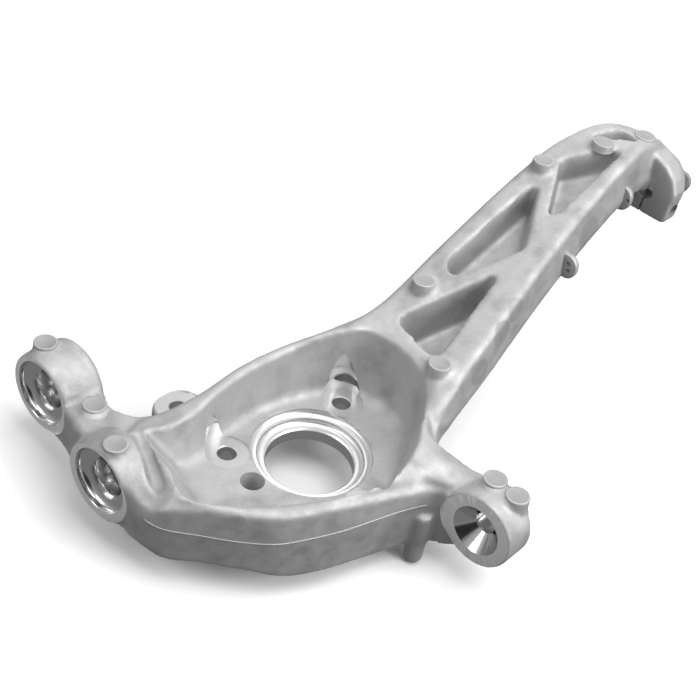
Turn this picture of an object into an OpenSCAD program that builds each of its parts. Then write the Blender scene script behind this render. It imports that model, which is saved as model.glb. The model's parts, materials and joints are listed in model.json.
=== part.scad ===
// Steering knuckle, one aluminium casting with machined seats.
// Origin: centre of the hub bore on the outboard hub seat. +Z points inboard along the hub axis,
// +Y points up the neck to the upper ball joint clamp, +X points to the steering arm.

/* [Body] */
// Size that the plan outlines are shares of
plan_size = 100; // [60:1:160]
// Height of the dish rim above the hub seat, which the height shares are of
rim_h = 50; // [40:1:70]
// Thickness of the dish floor
floor_t = 18; // [12:0.5:24]
// Height of the mould parting line
parting_h = 27; // [20:0.5:32]
// Draft of each outer wall between the parting line and its edge
wall_draft = 1.6; // [0.5:0.1:3]
// Rounding of the outer edges
edge_r = 3.5; // [1:0.5:5]
// Rounding of the underside's edge
skirt_r = 1.5; // [0.5:0.5:3]
// Rounding of the inner edge of the rim
rim_r = 2; // [0.5:0.5:3]
// Height of the web between the ball joint bosses
web_h = 44; // [38:0.5:48]
// Fillet between the dish wall and its floor
floor_fillet = 9; // [4:0.5:14]

/* [Hub seat] */
// Diameter of the through bore
hub_bore_d = 60; // [40:0.5:66]
// Height of the shelf above the through bore
hub_shelf_h = 9.3; // [6:0.1:12]
// Chamfer of the through bore's upper edge
hub_chamfer = 1; // [0.5:0.1:2]
// Diameter of the first step above the shelf
hub_step_d = 73; // [68:0.5:76]
// Height of the first step
hub_step_h = 13.5; // [10:0.1:16]
// Diameter of the turned ring at the dish floor
hub_ring_d = 83; // [78:0.5:88]
// Diameter of the flat hub seat on the outboard side
hub_seat_d = 136; // [120:1:140]
// Radius of the hub bolt circle
bolt_circle_r = 56; // [50:0.5:60]
// Diameter of each hub bolt hole
bolt_hole_d = 12.5; // [8:0.1:14]
// Diameter of each spot face around a bolt hole
spot_face_d = 30; // [24:0.5:34]
// Depth of each spot face below the dish floor
spot_depth = 1.2; // [0.5:0.1:2]
// Angle of the first bolt hole from +X
bolt_angle = -7.5; // [-20:0.5:20]
// Number of hub bolts
bolt_count = 3; // [3:1:3]
// Diameter of the wheel speed sensor hole at the floor
sensor_hole_d = 12; // [8:0.5:14]
// Diameter of the sensor hole's widened mouth
sensor_mouth_d = 16.2; // [14:0.1:18]
// Distance of the sensor hole from the hub axis
sensor_hole_r = 50; // [46:0.5:54]
// Angle of the sensor hole from +X
sensor_angle = -95; // [-110:1:-80]

/* [Lower ball joint bosses] */
// Place of the rear boss along X
rear_boss_x = -142.7; // [-150:0.1:-130]
// Place of the rear boss mouth along Y
rear_boss_y = -111.3; // [-120:0.1:-100]
// Place of the front boss along X
front_boss_x = -57; // [-60:0.1:-50]
// Place of the front boss mouth along Y
front_boss_y = -131.3; // [-136:0.1:-126]
// Diameter of the rear boss barrel at its back
boss_d = 57.5; // [56:0.5:60]
// Diameter of the front boss barrel at its back
front_back_d = 58.5; // [56:0.5:62]
// Diameter of the machined face of each ball joint boss
boss_face_d = 55; // [50:0.5:56]
// How far each ball joint boss is cast off centre from its bore, towards -X
boss_shift_x = 1.2; // [0:0.1:2]
// How far each ball joint boss is cast lower than its bore
boss_drop = 2.4; // [0:0.1:3]
// Length of the rear boss barrel
rear_boss_l = 32; // [26:0.5:36]
// Length of the front boss barrel
front_boss_l = 24; // [20:0.5:28]
// Diameter of the mouth of the bowl recess
bowl_d = 44.6; // [36:0.2:48]
// Depth of the bowl recess
bowl_depth = 7; // [4:0.5:9]
// Depth of the straight wall at the bowl's mouth
bowl_wall = 2; // [1:0.1:3]
// Width of the lip at the bottom of the bowl
bowl_lip = 1; // [0.5:0.1:2]
// Depth of the chamfer from the bowl to the bore
bore_chamfer = 2; // [1:0.1:3]
// Diameter of the ball joint bore
joint_bore_d = 25; // [18:0.5:28]
// Depth of the rear bore, which runs out at the boss's back
rear_bore_depth = 57; // [50:1:60]
// Depth of the front bore, which is blind
front_bore_depth = 30; // [26:1:34]

/* [Steering arm] */
// Place of the steering boss along X
steer_x = 119.8; // [110:0.1:130]
// Place of the steering boss mouth along Y
steer_y = 23.8; // [18:0.1:30]
// Diameter of the machined face of the steering boss
steer_d = 51; // [46:0.5:54]
// Length of the steering boss barrel
steer_l = 25; // [22:0.5:30]
// Diameter of the steering boss behind its face
steer_back_d = 53; // [50:0.5:56]
// Diameter of the machined collar behind the barrel
steer_collar_d = 34; // [28:0.5:38]
// Length of the machined collar
steer_collar_l = 8; // [4:0.5:10]
// Diameter of the cone at its mouth
steer_cone_d = 34; // [28:0.5:38]
// Depth of the straight lip before the cone
steer_lip = 0.5; // [0.2:0.1:1]
// Depth of the cone
steer_cone_depth = 10.5; // [8:0.5:14]
// Diameter of the tie rod bore
steer_bore_d = 15; // [12:0.5:18]

/* [Neck] */
// Length of the neck from the hub axis to the clamp end
neck_l = 345; // [300:1:380]
// Height of the inboard face of the neck at its top end
neck_top_h = 160; // [140:1:180]
// Depth of the neck below its inboard face
neck_depth = 41; // [34:0.5:46]
// Rounding of the inboard edges of the neck
neck_edge_r = 5; // [3:0.5:8]
// Draft of the neck's sides
neck_draft = 4.4; // [3:0.1:6]
// Depth of the largest lightening pocket
pocket_depth = 28; // [20:0.5:31]
// Inset of the deepest pocket's floor from its mouth, by the draft
pocket_draft = 2.2; // [1:0.1:3]

/* [Upper clamp] */
// Place of the clamp bore along X
clamp_x = 24; // [20:0.5:28]
// Height of the clamp bore
clamp_z = 119; // [115:0.5:125]
// Diameter of the clamp bore
clamp_bore_d = 13; // [10:0.5:16]
// Height of the clamp's underside
clamp_bottom_z = 100; // [98:0.5:104]
// Place of the clamp face that looks down the neck
clamp_face_y = 320; // [315:0.5:324]
// Place of the clamp's far end along Y
clamp_end_y = 340; // [336:0.5:344]
// Place of the flat on the clamp's right end along X
clamp_right_x = 46; // [45:0.5:48]
// Width of the slit
slit_w = 3; // [2:0.1:4]
// Diameter of the pinch bolt hole
pinch_d = 10.5; // [8:0.5:12]
// Place of the pinch bolt hole along Y
pinch_y = 331; // [328:0.5:334]
// How far the pinch bolt hole runs on beyond the slit
pinch_depth = 30; // [24:1:36]
// Height of the pinch bolt hole
pinch_z = 109.3; // [107:0.1:111]

/* [Ears and pads] */
// Place of the near caliper ear along X
ear_x = -92; // [-96:0.5:-88]
// Place of the near caliper ear along Y
ear_y = -35; // [-40:0.5:-30]
// Place of the far caliper ear along X
far_ear_x = -74; // [-78:0.5:-70]
// Place of the far caliper ear along Y
far_ear_y = 73; // [68:0.5:78]
// Height of the caliper ears' machined top
ear_top_h = 11; // [8:0.5:16]
// Width of each caliper ear's root
ear_root_w = 52; // [40:1:60]
// Diameter of each caliper ear
ear_d = 31; // [26:0.5:36]
// Thickness of each caliper ear
ear_t = 14; // [10:0.5:18]
// Diameter of the machined face on each caliper ear
ear_face_d = 26.6; // [22:0.1:28]
// Depth of the machined face on each caliper ear
ear_face_depth = 1; // [0.5:0.1:2]
// Diameter of each caliper bolt hole
ear_hole_d = 12.5; // [10:0.1:14]
// Diameter of each ejector pad
pad_d = 16; // [12:0.5:18]
// How far each pad stands out
pad_h = 2.5; // [1:0.1:4]
// Diameter of the stub under the arm
stub_d = 13.4; // [10:0.2:16]
// Depth of the stub below the hub seat
stub_drop = 25; // [20:0.5:28]
// Place of the stub along X
stub_x = 84.5; // [80:0.5:90]
// Place of the stub along Y
stub_y = 17; // [14:0.5:22]
// Place of the neck's right flank, where the bracket ears start
bracket_x = 28; // [24:0.5:31]
// Place of the lower bracket ear along Y
bracket_y = 216; // [210:1:222]
// Height of the lower bracket ear's bottom
bracket_z = 90; // [84:1:94]
// Place of the flank at the upper bracket ear
far_bracket_x = 25; // [22:0.5:28]
// Place of the upper bracket ear along Y
far_bracket_y = 291; // [286:1:296]
// Height of the upper bracket ear's bottom
far_bracket_z = 114; // [109:1:119]
// How far the lower bracket ear stands out
bracket_reach = 13; // [10:0.5:15]
// Height of the lower bracket ear
bracket_h = 19; // [16:0.5:21]
// How far the upper bracket ear stands out
far_bracket_reach = 5; // [4:0.5:8]
// Height of the upper bracket ear
far_bracket_h = 20; // [18:0.5:22]
// How far each bracket ear is rooted in the neck
bracket_root = 14; // [10:0.5:16]
// Distance of the lower ear's holes from the flank
bracket_hole_x = 6; // [5:0.5:7]
// Height of the lower ear's first hole above its bottom
bracket_hole_z = 6; // [5:0.5:7]
// Height of the lower ear's second hole above the first
bracket_hole_step = 7; // [6:0.5:8]
// Thickness of each bracket ear on the neck
bracket_t = 5; // [3:0.5:7]
// Place of the end pad on the clamp along X
clamp_mark_x = 40; // [36:0.5:44]
// Height of the end pad on the clamp
clamp_mark_z = 130; // [124:0.5:134]
// Diameter of each bracket hole
bracket_hole_d = 4; // [3:0.1:5]

/* [Hidden] */
$fn = 64;
// Length that every cutter runs past the surface it opens
over = pad_h;
// Length that the clamp's bore and slit run past its face, into the neck's flank
clamp_run = 0.5;
// Steps of each arc in the cast surfaces
arc_steps = 3;
// Steps between stations of the dish, the neck and the web
station_steps = 2;

// Stations round the dish, anticlockwise from the left of the neck's foot.
// Each row: outer wall x and y, its lower edge and its upper edge, rim x, y and height, floor x and y.
// Plan values are shares of plan_size and heights are shares of rim_h.
station_shares = [
    [-0.42, 0.90, 0.44, 1.36, -0.335, 0.645, 1.38, -0.28, 0.535],
    [-0.51, 0.51, 0.20, 1.29, -0.44, 0.47, 1.30, -0.36, 0.41],
    [-0.61, 0.22, 0.04, 1.18, -0.51, 0.23, 1.18, -0.43, 0.20],
    [-0.65, -0.11, 0.00, 1.12, -0.55, -0.09, 1.12, -0.47, -0.08],
    [-0.63, -0.435, 0.00, 1.08, -0.515, -0.42, 1.10, -0.44, -0.38],
    [-0.645, -0.66, 0.00, 1.03, -0.48, -0.63, 1.05, -0.39, -0.54],
    [-0.70, -0.88, 0.00, 0.96, -0.50, -0.85, 1.02, -0.35, -0.63],
    [-0.64, -1.08, 0.00, 1.00, -0.54, -0.98, 1.04, -0.30, -0.68],
    [-0.46, -1.27, 0.00, 1.00, -0.38, -1.03, 1.05, -0.23, -0.72],
    [-0.31, -1.31, 0.00, 0.82, -0.24, -1.075, 1.04, -0.16, -0.76],
    [-0.16, -1.30, -0.01, 0.72, -0.12, -1.13, 1.02, -0.08, -0.79],
    [-0.04, -1.27, -0.03, 0.85, -0.04, -1.15, 1.01, 0.00, -0.81],
    [0.06, -1.20, -0.03, 0.92, 0.04, -1.12, 1.00, 0.07, -0.81],
    [0.15, -1.125, 0.00, 0.96, 0.12, -1.06, 1.00, 0.14, -0.79],
    [0.26, -1.04, 0.00, 0.98, 0.24, -0.95, 1.00, 0.24, -0.73],
    [0.38, -0.935, -0.02, 0.98, 0.36, -0.81, 1.00, 0.34, -0.63],
    [0.50, -0.80, -0.11, 0.98, 0.44, -0.67, 1.00, 0.40, -0.54],
    [0.585, -0.63, -0.19, 0.98, 0.52, -0.53, 1.00, 0.47, -0.42],
    [0.67, -0.42, -0.20, 0.96, 0.59, -0.37, 1.00, 0.53, -0.30],
    [0.74, -0.18, -0.22, 0.88, 0.65, -0.21, 1.00, 0.57, -0.16],
    [0.80, 0.00, -0.23, 0.82, 0.675, -0.03, 1.01, 0.58, -0.02],
    [0.87, 0.14, -0.18, 0.76, 0.66, 0.09, 1.03, 0.56, 0.09],
    [0.98, 0.22, -0.14, 0.76, 0.62, 0.22, 1.06, 0.51, 0.20],
    [1.07, 0.40, -0.06, 0.80, 0.58, 0.31, 1.08, 0.46, 0.28],
    [0.96, 0.58, -0.02, 0.80, 0.545, 0.37, 1.09, 0.42, 0.345],
    [0.80, 0.51, 0.00, 0.81, 0.505, 0.43, 1.11, 0.375, 0.41],
    [0.66, 0.53, 0.04, 0.84, 0.455, 0.51, 1.13, 0.325, 0.47],
    [0.58, 0.58, 0.16, 0.95, 0.395, 0.60, 1.16, 0.275, 0.53],
    [0.53, 0.70, 0.42, 1.12, 0.315, 0.69, 1.20, 0.205, 0.575],
    [0.48, 0.88, 0.60, 1.24, 0.20, 0.755, 1.26, 0.11, 0.595],
    [0.25, 1.00, 0.68, 1.32, 0.045, 0.78, 1.31, 0.01, 0.605],
    [-0.12, 1.01, 0.68, 1.36, -0.11, 0.77, 1.35, -0.10, 0.60],
    [-0.30, 0.98, 0.60, 1.38, -0.25, 0.735, 1.38, -0.20, 0.575]
];
// Share of each edge rounding that its middle line is set in by
soft_share = 0.3;
// Share of the way out from the hub axis at which the underside turns down to its edge
seat_share = 0.76;
// Share of the way from the rim to the floor edge that the straight wall takes
wall_share = 0.45;

// Stations up the neck. Each row: Y, left and right of the inboard face, height of the face,
// and depth. Y is a share of neck_l, the sides are shares of plan_size, the height is a share
// of neck_top_h and the depth is a share of neck_depth.
neck_shares = [
    [0.182, -0.415, 0.506, 0.425, 0.82],
    [0.217, -0.402, 0.495, 0.439, 0.94],
    [0.284, -0.385, 0.445, 0.471, 1.00],
    [0.351, -0.384, 0.41, 0.529, 1.00],
    [0.433, -0.393, 0.36, 0.606, 1.00],
    [0.516, -0.39, 0.315, 0.688, 1.00],
    [0.60, -0.385, 0.276, 0.77, 1.00],
    [0.685, -0.382, 0.237, 0.841, 1.00],
    [0.76, -0.365, 0.215, 0.909, 1.00],
    [0.813, -0.317, 0.206, 0.96, 1.00],
    [0.867, -0.254, 0.195, 0.996, 1.00],
    [0.91, -0.19, 0.19, 1.00, 1.00],
    [0.95, -0.09, 0.20, 0.98, 0.95],
    [0.98, 0.00, 0.19, 0.94, 0.85]
];

// Corners of the four lightening pockets on the inboard face, as shares of plan_size across
// and of neck_l along, each with the share of pocket_depth and the corner radius share of edge_r.
pocket_shares = [
    [[[-0.216, 0.27], [0.233, 0.248], [0.103, 0.475]], 1.00, 1.5],
    [[[-0.261, 0.42], [-0.117, 0.412], [0.107, 0.539], [-0.212, 0.693]], 0.90, 1.4],
    [[[0.074, 0.621], [0.102, 0.856], [-0.051, 0.84], [-0.208, 0.755]], 0.68, 1.3],
    [[[-0.199, 0.825], [0.127, 0.895], [-0.029, 0.902], [-0.097, 0.888]], 0.45, 0.5]
];

// Share of each pocket's corner radius that the foot of its floor fillet is set in by
toe_share = 0.9;

// Shares of the stub's radius: its flat end and its rounded nose
stub_end_share = 0.7;
stub_nose_share = 0.45;
// Share of each bracket ear's height that its rounded corners take
bracket_round_share = 0.42;
// Share of each caliper ear's radius that its outer corners are rounded by
ear_round_share = 0.98;
// Places along X of the caliper ears' roots, as shares of plan_size
ear_root_share = 0.6;
far_ear_root_share = 0.44;
// Height of the cone that the drill leaves at the end of a blind bore, as a share of its radius
drill_tip_share = 0.33;

// Plan of the web between the ball joint bosses, as shares of plan_size
web_shares = [
    [-1.46, -1.09], [-1.20, -1.13], [-1.04, -1.17], [-0.86, -1.24], [-0.50, -1.22], [-0.38, -1.10],
    [-0.42, -0.90], [-0.66, -0.74], [-0.76, -0.86], [-0.87, -0.92], [-1.00, -0.905], [-1.16, -0.82],
    [-1.42, -0.88]
];

// Outline of the clamp head seen along Y, as shares of plan_size across and of neck_top_h up
head_shares = [
    [-0.17, 0.70], [0.03, 0.625], [0.46, 0.625], [0.48, 0.79],
    [0.43, 0.86], [0.34, 0.91], [0.14, 0.955], [-0.12, 0.98], [-0.25, 0.94]
];

// Plan of the clamp head, as shares of plan_size across and of neck_l along
head_plan_shares = [
    [-0.06, 0.90], [0.50, 0.90], [0.50, 0.986], [0.12, 0.986], [0.01, 0.965], [-0.12, 0.935]
];

// Ejector pads: x and y as shares of plan_size, and the height of the surface as a share of rim_h
pad_shares = [
    [-1.545, -0.985, 1.09], [-0.54, -1.22, 1.09], [-0.98, -1.035, 0.89],
    [1.13, 0.43, 1.09], [1.31, 0.43, 1.08],
    [0.302, 0.813, 1.44], [-0.234, 1.218, 1.80], [-0.27, 2.463, 2.87], [-0.044, 2.853, 3.18],
    [0.00, 3.34, 2.97]
];

function mix(a, b, t) = a + (b - a) * t;
function unit(v) = v / norm(v);
function flat(p) = [p[0], p[1]];

// Point on a smooth curve through b and c, with a and d the next points out
function spline(a, b, c, d, t) =
    0.5 * (2 * b + (c - a) * t + (2 * a - 5 * b + 4 * c - d) * t * t + (3 * b - a - 3 * c + d) * t * t * t);

// Rows of a closed table, smoothed with a number of steps between rows
function closed_rows(rows, steps) = let (n = len(rows)) [
    for (i = [0:n - 1])
        for (k = [0:steps - 1])
            spline(rows[(i + n - 1) % n], rows[i], rows[(i + 1) % n], rows[(i + 2) % n], k / steps)
];

// Rows of an open table, smoothed with a number of steps between rows
function open_rows(rows, steps) = let (n = len(rows)) [
    for (i = [0:n - 2])
        for (k = [0:(i == n - 2 ? steps : steps - 1)])
            spline(rows[max(i - 1, 0)], rows[i], rows[i + 1], rows[min(i + 2, n - 1)], k / steps)
];

// Outline with each corner replaced by an arc of its own radius
function rounded(corners, radii) = let (n = len(corners)) [
    for (i = [0:n - 1])
        let (
            b = corners[i],
            r = radii[i],
            u = unit(corners[(i + n - 1) % n] - b),
            v = unit(corners[(i + 1) % n] - b),
            half = acos(u * v) / 2,
            centre = b + unit(u + v) * r / sin(half),
            d0 = unit(b + u * r / tan(half) - centre),
            d1 = unit(b + v * r / tan(half) - centre),
            sweep = 180 - 2 * half
        )
        for (k = [0:arc_steps])
            centre + r * (sin(sweep * (1 - k / arc_steps)) * d0 + sin(sweep * k / arc_steps) * d1) / sin(sweep)
];

// The same radius for every corner
function even(corners, r) = rounded(corners, [for (c = corners) r]);

// Anticlockwise outline moved inward by d
function inset(outline, d) = let (n = len(outline)) [
    for (i = [0:n - 1])
        let (t = unit(flat(outline[(i + 1) % n]) - flat(outline[(i + n - 1) % n])))
        flat(outline[i]) + d * [-t[1], t[0]]
];

function at_height(outline, z) = [for (p = outline) [p[0], p[1], z]];

function ring_centre(ring) = [for (i = [0:2]) [for (p = ring) p[i]] * [for (p = ring) 1] / len(ring)];

// Closed solid through a stack of rings, with a fan over the first and the last ring
module ring_solid(rings) {
    m = len(rings[0]);
    n = len(rings);
    first_tip = ring_centre(rings[0]);
    last_tip = ring_centre(rings[n - 1]);
    points = concat([first_tip], [for (ring = rings) for (p = ring) p], [last_tip]);
    faces = concat(
        [for (j = [0:m - 1]) [0, 1 + j, 1 + (j + 1) % m]],
        [for (i = [0:n - 2]) for (j = [0:m - 1])
            [1 + i * m + j, 1 + (i + 1) * m + j, 1 + i * m + (j + 1) % m]],
        [for (i = [0:n - 2]) for (j = [0:m - 1])
            [1 + i * m + (j + 1) % m, 1 + (i + 1) * m + j, 1 + (i + 1) * m + (j + 1) % m]],
        [for (j = [0:m - 1]) [n * m + 1, 1 + (n - 1) * m + (j + 1) % m, 1 + (n - 1) * m + j]]
    );
    polyhedron(points, faces);
}

// Cast plate between two heights, with rounded edges and a widest line between them
module cast_plate(outline, z0, z1, r) {
    ring_solid([
        at_height(inset(outline, r), z0),
        at_height(inset(outline, r * soft_share), z0 + r * soft_share),
        at_height(outline, z0 + r),
        at_height(outline, z1 - r),
        at_height(inset(outline, r * soft_share), z1 - r * soft_share),
        at_height(inset(outline, r), z1)
    ]);
}

// Rings from the rim down the inner wall and the fillet to the floor of the dish
function inner_rings(rows) = let (
    m = len(rows),
    rim = [for (r = rows) plan_size * [r[4], r[5]]],
    crest = [for (r = rows) rim_h * r[6]],
    foot = [for (r = rows) plan_size * [r[7], r[8]]],
    rim_top = inset(rim, -rim_r)
) concat(
    [
        [for (j = [0:m - 1]) [rim_top[j][0], rim_top[j][1], crest[j]]],
        [for (j = [0:m - 1]) [rim[j][0], rim[j][1], crest[j] - rim_r]]
    ],
    [
        for (k = [0:arc_steps])
            let (a = 90 * k / arc_steps)
            [for (j = [0:m - 1])
                let (p = mix(rim[j], foot[j], mix(wall_share, 1, 1 - cos(a))))
                [p[0], p[1], floor_t + floor_fillet * (1 - sin(a))]]
    ]
);

// Dish and arm: underside, outer wall, rim and the inner rings in one surface
module dish() {
    rows = closed_rows(station_shares, station_steps);
    outer = [for (r = rows) plan_size * [r[0], r[1]]];
    low = [for (r = rows) rim_h * r[2]];
    high = [for (r = rows) rim_h * r[3]];
    m = len(rows);
    drafted = inset(outer, wall_draft);
    rounding = inset(outer, wall_draft + edge_r * soft_share);
    flat_edge = inset(outer, wall_draft + edge_r);
    skirt = inset(outer, wall_draft + skirt_r);
    ring_solid(concat(
        [
            [for (j = [0:m - 1]) [outer[j][0] * seat_share, outer[j][1] * seat_share, 0]],
            [for (j = [0:m - 1]) [skirt[j][0], skirt[j][1], low[j]]],
            [for (j = [0:m - 1]) [drafted[j][0], drafted[j][1], low[j] + skirt_r]],
            [for (j = [0:m - 1]) [outer[j][0], outer[j][1], max(parting_h, low[j] + 2 * edge_r)]],
            [for (j = [0:m - 1]) [drafted[j][0], drafted[j][1], high[j] - edge_r]],
            [for (j = [0:m - 1]) [rounding[j][0], rounding[j][1], high[j] - edge_r * soft_share]],
            [for (j = [0:m - 1]) [flat_edge[j][0], flat_edge[j][1], high[j]]]
        ],
        inner_rings(rows)
    ));
}

// The room inside the dish and a little of its wall, which the neck and the bosses stay out of
module cavity() {
    rings = inner_rings(closed_rows(station_shares, station_steps));
    n = len(rings);
    wider = [for (ring = rings) [for (k = [0:len(ring) - 1])
        let (p = inset(ring, -rim_r)[k]) [p[0], p[1], ring[k][2] - rim_r]]];
    top = [for (p = wider[0]) [p[0], p[1], p[2] + rim_h]];
    ring_solid(concat([for (i = [0:n - 1]) wider[n - 1 - i]], [top]));
}

// Neck: box beam that climbs inboard and ends in the clamp head
module neck() {
    rows = open_rows(neck_shares, station_steps);
    low_r = neck_edge_r / 2;
    low_draft = neck_draft - wall_draft;
    parting_share = 0.22;
    ring_solid([
        for (r = rows)
            let (
                y = r[0] * neck_l,
                left = r[1] * plan_size,
                right = r[2] * plan_size,
                top = r[3] * neck_top_h,
                bottom = top - r[4] * neck_depth,
                parting = mix(bottom, top, parting_share),
                section = rounded(
                    [
                        [left, top], [right, top], [right + neck_draft, parting],
                        [right + low_draft, bottom], [left - low_draft, bottom], [left - neck_draft, parting]
                    ],
                    [neck_edge_r, neck_edge_r, low_r, low_r, low_r, low_r]
                )
            )
            [for (p = section) [p[0], y, p[1]]]
    ]);
}

// Height of the neck's inboard face at a share of its length
function face_height(share) =
    neck_top_h * lookup(share, [for (r = open_rows(neck_shares, station_steps)) [r[0], r[3]]]);

// Lightening pocket cut into the inboard face
module pocket(entry) {
    depth = entry[1] * pocket_depth;
    r = entry[2] * edge_r;
    toe_inset = r * toe_share;
    floor_inset = min(entry[1] * pocket_draft, toe_inset / 2);
    corners = [for (c = entry[0]) [c[0] * plan_size, c[1] * neck_l]];
    mouth = even(corners, r);
    ring_solid([
        [for (p = inset(mouth, toe_inset)) [p[0], p[1], face_height(p[1] / neck_l) - depth]],
        [for (p = inset(mouth, floor_inset))
            [p[0], p[1], face_height(p[1] / neck_l) - depth + toe_inset - floor_inset]],
        [for (p = inset(mouth, -floor_inset / 4)) [p[0], p[1], face_height(p[1] / neck_l) + over]]
    ]);
}

// Barrel along +Y with rounded ends, from its face to its back
module barrel(face_d, l, back_d) {
    rotate([-90, 0, 0])
        rotate_extrude($fn = 40)
            polygon([
                [0, 0], [face_d / 2 - edge_r * soft_share, 0], [face_d / 2 + edge_r * soft_share, edge_r * soft_share],
                [back_d / 2, 2 * edge_r], [back_d / 2, l - edge_r],
                [back_d / 2 - edge_r * soft_share, l - edge_r * soft_share], [back_d / 2 - edge_r, l], [0, l]
            ]);
}

// Clamp head that hooks over the end of the neck: its outline along Y and its plan together
module clamp_head() {
    corners = [for (c = head_shares) [c[0] * plan_size, c[1] * neck_top_h]];
    plan = [for (c = head_plan_shares) [c[0] * plan_size, c[1] * neck_l]];
    intersection() {
        translate([0, clamp_end_y, 0])
            rotate([90, 0, 0])
                cast_plate(even(corners, edge_r), 0, clamp_end_y - clamp_face_y, edge_r / 2);
        linear_extrude(2 * neck_top_h)
            polygon(rounded(plan, [edge_r, edge_r, 3.5 * edge_r, 2 * edge_r, edge_r, edge_r]));
    }
}

// Web that joins the rear ball joint boss to the dish
module web() {
    cast_plate([for (p = closed_rows(web_shares, station_steps)) p * plan_size], 0, web_h, edge_r);
}

// Round pads that the ejector pins left
module pads() {
    for (p = pad_shares)
        translate([p[0] * plan_size, p[1] * plan_size, p[2] * rim_h - pad_h])
            cylinder(h = 2 * pad_h, d = pad_d, $fn = 24);
    translate([clamp_mark_x, clamp_end_y - pad_h, clamp_mark_z])
        rotate([-90, 0, 0])
            cylinder(h = 1.5 * pad_h, d = pad_d, $fn = 24);
}

// Ear that a caliper bolt passes through, joined to the dish wall by its root
module caliper_ear(x, y, root_x, root_w) {
    end = ear_d / 2;
    outline = rounded(
        [[x - end, y + end], [x - end, y - end], [root_x, y - root_w / 2], [root_x, y + root_w / 2]],
        [end * ear_round_share, end * ear_round_share, edge_r, edge_r]
    );
    cast_plate(outline, ear_top_h - ear_t, ear_top_h, edge_r / 2);
}

// Stub with a rounded end below the arm
module stub() {
    r = stub_d / 2;
    top = stub_drop + floor_t;
    translate([stub_x, stub_y, -stub_drop])
        rotate_extrude($fn = 32)
            polygon([[0, 0], [r * stub_end_share, 0], [r, r * stub_nose_share], [r, top], [0, top]]);
}

// Thin ear on the flank of the neck for a line bracket
module bracket_ear(x, reach, y, z0, z1) {
    x0 = x - bracket_root;
    x1 = x + reach;
    r = (z1 - z0) * bracket_round_share;
    outline = rounded(
        [[x0, z0], [x1, z0], [x1, z1], [x0, z1]],
        [edge_r, r, r, edge_r]
    );
    translate([0, y, 0]) rotate([90, 0, 0]) cast_plate(outline, 0, bracket_t, bracket_t / 5);
}

module casting() {
    difference() {
        union() {
            dish();
            difference() {
                union() {
                    neck();
                    web();
                    translate([front_boss_x - boss_shift_x, front_boss_y, parting_h - boss_drop])
                        barrel(boss_face_d, front_boss_l, front_back_d);
                }
                cavity();
            }
            clamp_head();
            translate([rear_boss_x - boss_shift_x / 2, rear_boss_y, parting_h - boss_drop / 2])
                barrel(boss_face_d, rear_boss_l, boss_d);
            translate([steer_x, steer_y, parting_h]) barrel(steer_d, steer_l, steer_back_d);
            translate([steer_x, steer_y + steer_l - over, parting_h])
                rotate([-90, 0, 0])
                    cylinder(h = steer_collar_l + over, d = steer_collar_d);
            caliper_ear(ear_x, ear_y, -plan_size * ear_root_share, ear_root_w);
            caliper_ear(far_ear_x, far_ear_y, -plan_size * far_ear_root_share, ear_root_w);
            stub();
            bracket_ear(bracket_x, bracket_reach, bracket_y, bracket_z, bracket_z + bracket_h);
            bracket_ear(far_bracket_x, far_bracket_reach, far_bracket_y, far_bracket_z, far_bracket_z + far_bracket_h);
            pads();
        }
        for (entry = pocket_shares) pocket(entry);
    }
}

// Bore through the dish floor with its shelf, step and turned ring
module hub_bore() {
    r = hub_bore_d / 2;
    step_r = hub_step_d / 2;
    ring_r = hub_ring_d / 2;
    turn = hub_step_h - hub_shelf_h;
    lip = floor_t - hub_step_h;
    below = rim_h;
    rotate_extrude()
        polygon(concat(
            [[0, -below], [r, -below], [r, hub_shelf_h - hub_chamfer], [r + hub_chamfer, hub_shelf_h]],
            [for (k = [0:arc_steps]) let (a = 90 * k / arc_steps)
                [step_r - turn + turn * sin(a), hub_step_h - turn * cos(a)]],
            [for (k = [1:arc_steps]) let (a = 90 * k / arc_steps)
                [ring_r - lip + lip * sin(a) , floor_t - lip * cos(a)]],
            [[ring_r, floor_t + floor_fillet], [0, floor_t + floor_fillet]]
        ));
    translate([0, 0, -below]) cylinder(h = below, d = hub_seat_d);
}

// Bolt holes of the hub bearing, each with its spot face
module hub_bolts() {
    for (i = [0:bolt_count - 1])
        rotate(bolt_angle + i * 360 / bolt_count)
            translate([bolt_circle_r, 0, 0]) {
                translate([0, 0, -rim_h]) cylinder(h = 2 * rim_h, d = bolt_hole_d);
                translate([0, 0, floor_t - spot_depth]) cylinder(h = rim_h, d = spot_face_d);
            }
}

// Sensor hole, widened at its mouth
module sensor_hole() {
    rotate(sensor_angle)
        translate([sensor_hole_r, 0, 0]) {
            translate([0, 0, -rim_h]) cylinder(h = 2 * rim_h, d = sensor_hole_d);
            translate([0, 0, floor_t / 2])
                cylinder(h = floor_t, d1 = sensor_hole_d, d2 = 2 * sensor_mouth_d - sensor_hole_d);
        }
}

// Seat and bore of a ball joint boss, cut along +Y from its mouth
module joint_seat(depth) {
    mouth_r = bowl_d / 2;
    bore_r = joint_bore_d / 2;
    lip_r = bore_r + bowl_lip;
    rotate([-90, 0, 0]) {
        rotate_extrude()
            polygon(concat(
                [[0, -over], [mouth_r, -over], [mouth_r, bowl_wall]],
                [for (k = [1:arc_steps]) let (a = 90 * k / arc_steps)
                    [lip_r + (mouth_r - lip_r) * cos(a), bowl_wall + (bowl_depth - bowl_wall) * sin(a)]],
                [[bore_r, bowl_depth + bore_chamfer], [bore_r, depth], [0, depth + bore_r * drill_tip_share]]
            ));
    }
}

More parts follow.
